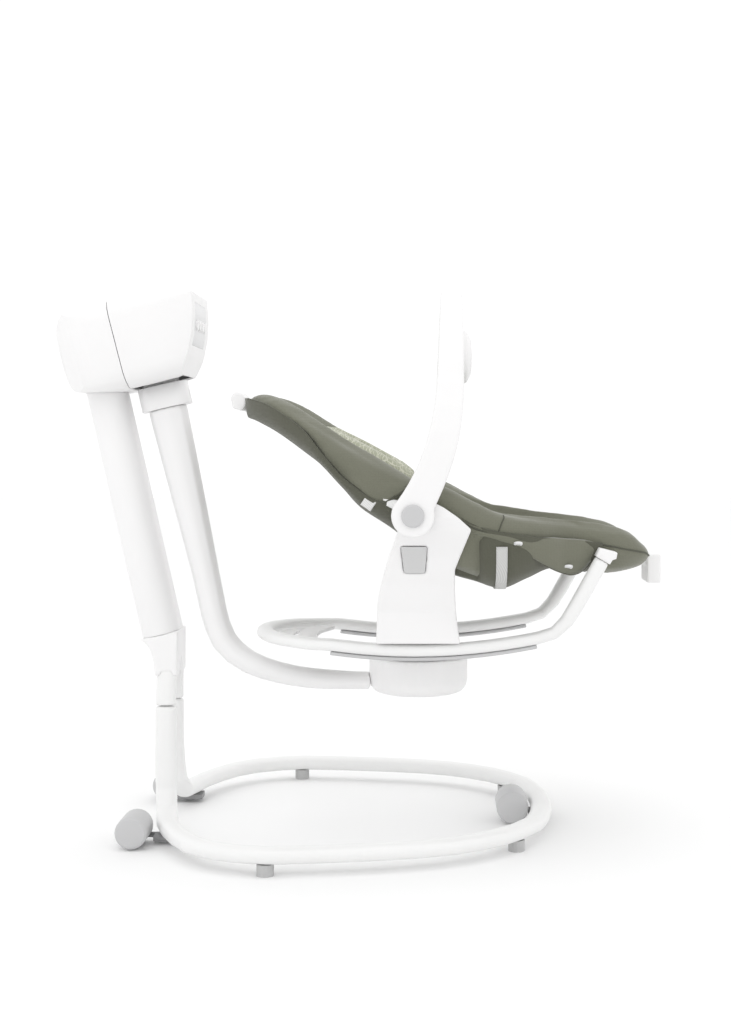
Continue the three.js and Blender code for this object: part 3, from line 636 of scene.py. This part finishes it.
def skirt_row(station, side):
    x, half, top, bottom = (value * MM for value in station)
    wave = 0.0012 * math.sin(x * 160)
    row = [Vector((x, side * (half - 0.005), top + 0.0015))]
    for k in range(7):
        drop = k / 6
        bulge = 0.004 * math.sin(math.pi * drop) + wave * drop
        row.append(Vector((x, side * (half + bulge - 0.004 * drop), top + (bottom - top) * drop)))
    return row


def skirts():
    for name, side in (("left", 1), ("right", -1)):
        rows = smooth_rows([skirt_row(station, side) for station in SKIRT], 50)
        piece, area = thin_sheet(f"skirt_{name}", rows, 0.0016, OLIVE)
        settle(piece, "rocker")
        hem = cord_along(f"skirt_hem_{name}", [row[-1] for row in rows[::4]], 0.001, PIPING, 90)
        settle(hem, "rocker")
        tree = surface_of(piece)
        for number, (x, y, z) in enumerate(SNAPS, 1):
            place, _, _, _ = tree.find_nearest(Vector((x * MM, side * (y + 20) * MM, z * MM)))
            facing = Vector((0, 0.4 * side, -0.9)).normalized()
            snap = dome(f"snap_{name}_{number}", place, facing, 0.006, 0.0022, PALE)
            settle(snap, "rocker")


def dome(name, place, normal, radius, height, material):
    """A snap's low round cap with a raised rim."""
    profile = [(0, 0.8), (0.45, 0.75), (0.7, 0.95), (0.9, 0.8), (1, 0.35), (1, -0.4)]
    turn = normal.to_track_quat("Z", "Y")
    rings = []
    for share, rise in profile[1:]:
        ring = []
        for k in range(24):
            angle = 2 * math.pi * k / 24
            out = share * radius
            local = Vector((out * math.cos(angle), out * math.sin(angle), rise * height))
            ring.append(place + turn @ local)
        rings.append(ring)
    piece = loft(name, rings, material)
    smooth_shade(piece, 50)
    return piece


def ribbon(name, points, ups, width, material, thick=0.0014, count=60):
    """A strap: a flat band along a curve, its width along the direction `ups` cross the curve."""
    line = catmull(points, count)
    rows = []
    for i, point in enumerate(line):
        along = (line[min(i + 1, count - 1)] - line[max(i - 1, 0)]).normalized()
        sideways = along.cross(ups).normalized()
        rows.append([point + sideways * (share * width) for share in (-0.5, -0.25, 0, 0.25, 0.5)])
    return thin_sheet(name, rows, thick, material)[0]


def sling_strap():
    """Grey tape round the pouch under the seat."""
    row = catmull(sling_row(SEAT, 3), 60)[3:-3]
    outward = 0.0018
    middle = Vector((0, 0, 0.4))
    rows = []
    for k in range(6):
        x = (186 + 15 * k / 5) * MM
        line = []
        for point in row:
            away = Vector((0, point.y, point.z - middle.z)).normalized()
            line.append(Vector((x, point.y + away.y * outward, point.z + away.z * outward)))
        rows.append(line)
    piece, _ = thin_sheet("sling_strap", rows, 0.0016, TAPE)
    settle(piece, "rocker")


def label(back_sling):
    """A blank cloth label sewn to the sling's right edge."""
    place, normal, _, _ = surface_of(back_sling).find_nearest(Vector((0.015, -0.17, 0.455)))
    slope = Vector((0.83, 0, -0.56))
    down = slope.cross(Vector((0, 1, 0))).normalized()
    rows = []
    for k in range(6):
        drop = -0.006 + 0.014 * k / 5
        off = Vector((0, -0.0022 - 0.0006 * math.sin(3 * k), 0))
        rows.append([place + off + slope * (0.0016 * j) + down * drop for j in range(-5, 6)])
    piece, _ = thin_sheet("label", rows, 0.0008, LABEL)
    settle(piece, "backrest")


# ---------- the insert ----------
INSERT_LINES = {
    "crest": [(-66, 563), (-44, 567), (-16, 556), (20, 539), (56, 519), (80, 502)],
    "bed": [(-66, 551), (-52, 541), (-26, 515), (0, 487), (28, 461), (62, 448)],
    "half": [72, 112, 121, 124, 125, 124],
}


def insert_ring(i):
    crest, bed = place_of(INSERT_LINES, "crest", i), place_of(INSERT_LINES, "bed", i)
    width = INSERT_LINES["half"][i] * MM
    rise = (crest - bed).normalized() * 0.013
    half = [
        across(bed + rise, 0),
        across(bed + rise, 0.42 * width),
        across((bed + rise).lerp(crest, 0.2), 0.6 * width),
        across((bed + rise).lerp(crest, 0.75), 0.74 * width),
        across(crest, 0.87 * width),
        across(crest.lerp(bed, 0.15), 0.97 * width),
        across(crest.lerp(bed, 0.45), width),
        across(crest.lerp(bed, 0.85), 0.9 * width),
        across(bed, 0.6 * width),
        across(bed, 0),
    ]
    return half + [across(point, -point.y) for point in reversed(half[1:-1])]


def insert():
    rings = smooth_rows([insert_ring(i) for i in range(len(INSERT_LINES["half"]))], 24)
    piece = loft("insert_back", rings, INSERT)
    inflate(piece, 0.005, 0.005)
    relax(piece, 2)
    finish_soft(piece, "backrest")
    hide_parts("insert_pad")
    return piece


# ---------- harness ----------
def harness():
    up = Vector((0, 0, 1))
    sideways = Vector((0, 1, 0))
    for name, side in (("left", 1), ("right", -1)):
        shoulder = [(-44, 42, 556), (-14, 41, 528), (10, 38, 500), (32, 34, 480), (70, 26, 456),
                    (112, 16, 422), (148, 9, 389)]
        points = [Vector((x * MM, side * y * MM, z * MM)) for x, y, z in shoulder]
        strap = ribbon(f"shoulder_strap_{name}", points, Vector((0.5, 0, 1)), 0.022, TAPE)
        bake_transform(strap)
        waist = [(86, 112, 438), (104, 84, 414), (126, 52, 392), (150, 21, 382)]
        points = [Vector((x * MM, side * y * MM, z * MM)) for x, y, z in waist]
        strap = ribbon(f"waist_strap_{name}", points, Vector((0.4, 0, 1)), 0.022, TAPE)
        settle(strap, "rocker")
    crotch = [Vector((x * MM, 0, z * MM)) for x, z in ((164, 379), (182, 372), (198, 362), (206, 350))]
    strap = ribbon("crotch_strap", crotch, up, 0.026, TAPE)
    settle(strap, "rocker")


# ---------- frame, shells and hard parts ----------
def tubes():
    refined("base_loop", 0.002, 14, bore=0.04, swell=0.0006)
    refined("rocker_loop", 0.0018, 12, bore=0.035, swell=0.0005)
    refined("swing_arm", 0.002, 18, swell=0.0004)
    refined("hub_bowl", 0.002, 8)
    refined("mast_yoke", 0.0015, 10, swell=0.0002)
    refined("toy_bar", 0.0018, 10, swell=0.0003)
    refined("recline_lever", 0.0015, 14)
    refined("vibration_unit", 0.0015, 14)
    for side in ("left", "right"):
        refined(f"leg_{side}", 0.0018, 10, bore=0.035, swell=0.0004)
        refined(f"pillar_{side}", 0.0018, 8)
        refined(f"grip_strip_{side}", 0.001, 6)


def shells():
    for node, width in (
        ("mast", 0.0008), ("pod_rear_shell", 0.0008), ("pod_front_shell", 0.0008),
        ("control_panel", 0.0004), ("swing_hanger", 0.0018), ("rear_plate", 0.0012), ("dock_plate", 0.0015),
        ("release_button", 0.0012),
        ("roller_left", 0.0008), ("roller_right", 0.0008), ("roller_front", 0.0008),
        ("roller_bracket_left", 0.0008), ("roller_bracket_right", 0.0008), ("roller_bracket_front", 0.0008),
        ("pillar_latch_left", 0.002), ("pillar_latch_right", 0.002), ("leg_clamp_left", 0.0018),
        ("leg_clamp_right", 0.0018), ("toy_light", 0.001), ("turntable_disc", 0.0012),
        ("harness_buckle", 0.002),
        ("vibration_button", 0.001), ("mast_lock_button", 0.001),
    ):
        edged(node, width)


# ---------- stage ----------
def studio():
    scene = bpy.context.scene
    world = bpy.data.worlds.new("studio")
    scene.world = world
    world.use_nodes = True
    world.node_tree.nodes["Background"].inputs["Color"].default_value = (1, 1, 1, 1)
    world.node_tree.nodes["Background"].inputs["Strength"].default_value = 1.08
    scene.view_settings.view_transform = "Standard"

    floor_mesh = bpy.data.meshes.new("floor")
    reach = 12
    corners = [(-reach, -reach, 0), (reach, -reach, 0), (reach, reach, 0), (-reach, reach, 0)]
    floor_mesh.from_pydata(corners, [], [(0, 1, 2, 3)])
    material, nodes, links = new_material("pale_floor")
    shader_of(nodes).inputs["Base Color"].default_value = (0.93, 0.93, 0.93, 1)
    shader_of(nodes).inputs["Roughness"].default_value = 0.9
    floor = add_object("floor", floor_mesh, material)

    for name, place, size, power in (
        ("key_light", (-0.9, -1.8, 2.3), 1.6, 4),
        ("top_light", (0.2, 0.3, 2.6), 2.4, 7),
    ):
        lamp = bpy.data.lights.new(name, "AREA")
        lamp.size = size
        lamp.energy = power
        light = bpy.data.objects.new(name, lamp)
        light.location = place
        aim = Vector((0, 0, 0.35)) - Vector(place)
        light.rotation_euler = aim.to_track_quat("-Z", "Y").to_euler()
        scene.collection.objects.link(light)


def camera():
    """Level, square to the object's side, as far off as the photograph was taken from."""
    lens = bpy.data.cameras.new("camera")
    lens.lens = 51.7
    lens.shift_x = -0.064
    lens.shift_y = -0.0693
    eye = bpy.data.objects.new("camera", lens)
    eye.location = (0.1, -2.1, 0.542)
    eye.rotation_euler = (math.radians(90), 0, 0)
    bpy.context.scene.collection.objects.link(eye)
    bpy.context.scene.camera = eye


camera()
studio()
dress_nodes()
tubes()
shells()
back_pad = pad("back_pad", BACK, "backrest", "back_cover")
seat_pad = pad("seat_pad", SEAT, "rocker", "seat_cover")
insert()
seams(back_pad, seat_pad)
label(sling())
skirts()
sling_strap()
harness()

bpy.context.view_layer.update()
